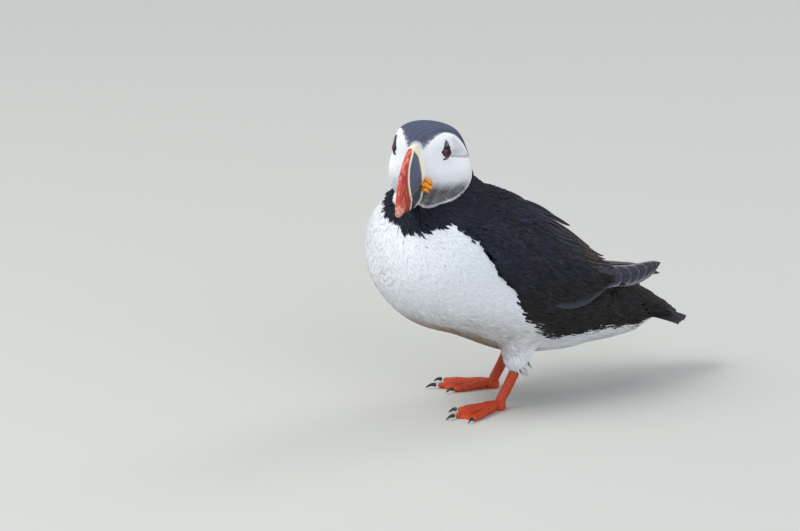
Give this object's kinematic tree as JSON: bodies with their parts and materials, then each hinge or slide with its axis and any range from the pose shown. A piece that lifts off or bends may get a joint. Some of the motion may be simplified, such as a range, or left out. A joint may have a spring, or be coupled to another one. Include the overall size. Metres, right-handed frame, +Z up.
{
  "type": "atlantic puffin model",
  "caption": "Life-size still model of a standing Atlantic puffin in summer dress, head turned, banded red and slate bill, folded wings, webbed orange feet.",
  "frame": {"origin": "on the floor under the middle of the bird's bounding box", "axes": "+Y from the breast towards the tail, +X towards the bird's left side, +Z up"},
  "size_m": [0.0993, 0.2333, 0.1874],
  "materials": {
    "black_feather": "blue-black feather",
    "white_feather": "white feather",
    "face_feather": "pale grey-white feather",
    "slate_horn": "satin horn",
    "cream_horn": "satin horn",
    "red_horn": "semi-gloss ridged horn",
    "rosette_skin": "wrinkled bare skin",
    "lid_skin": "bare skin",
    "eye_plate_horn": "satin horn",
    "eye": "wet gloss",
    "leg_skin": "scaly bare skin",
    "claw_horn": "polished horn"
  },
  "bodies": {
    "root": {"torso": "white_feather", "back": "black_feather", "neck": "black_feather", "tail": "black_feather", "crown": "black_feather", "head": "face_feather", "bill_rim": "cream_horn", "bill_plate_upper": "slate_horn", "bill_band_upper": "cream_horn", "bill_blade_upper": "red_horn", "bill_plate_lower": "slate_horn", "bill_band_lower": "cream_horn", "bill_blade_lower": "red_horn", "eye_left": "eye", "lids_left": "lid_skin", "eye_plate_upper_left": "eye_plate_horn", "eye_plate_lower_left": "eye_plate_horn", "rosette_left": "rosette_skin", "eye_right": "eye", "lids_right": "lid_skin", "eye_plate_upper_right": "eye_plate_horn", "eye_plate_lower_right": "eye_plate_horn", "rosette_right": "rosette_skin", "wing_left": "black_feather", "foot_left": "leg_skin", "claw_left_inner": "claw_horn", "claw_left_middle": "claw_horn", "claw_left_outer": "claw_horn", "thigh_left": "white_feather", "shank_left": "leg_skin", "wing_right": "black_feather", "foot_right": "leg_skin", "claw_right_inner": "claw_horn", "claw_right_middle": "claw_horn", "claw_right_outer": "claw_horn", "thigh_right": "white_feather", "shank_right": "leg_skin"}
  },
  "joints": []
}
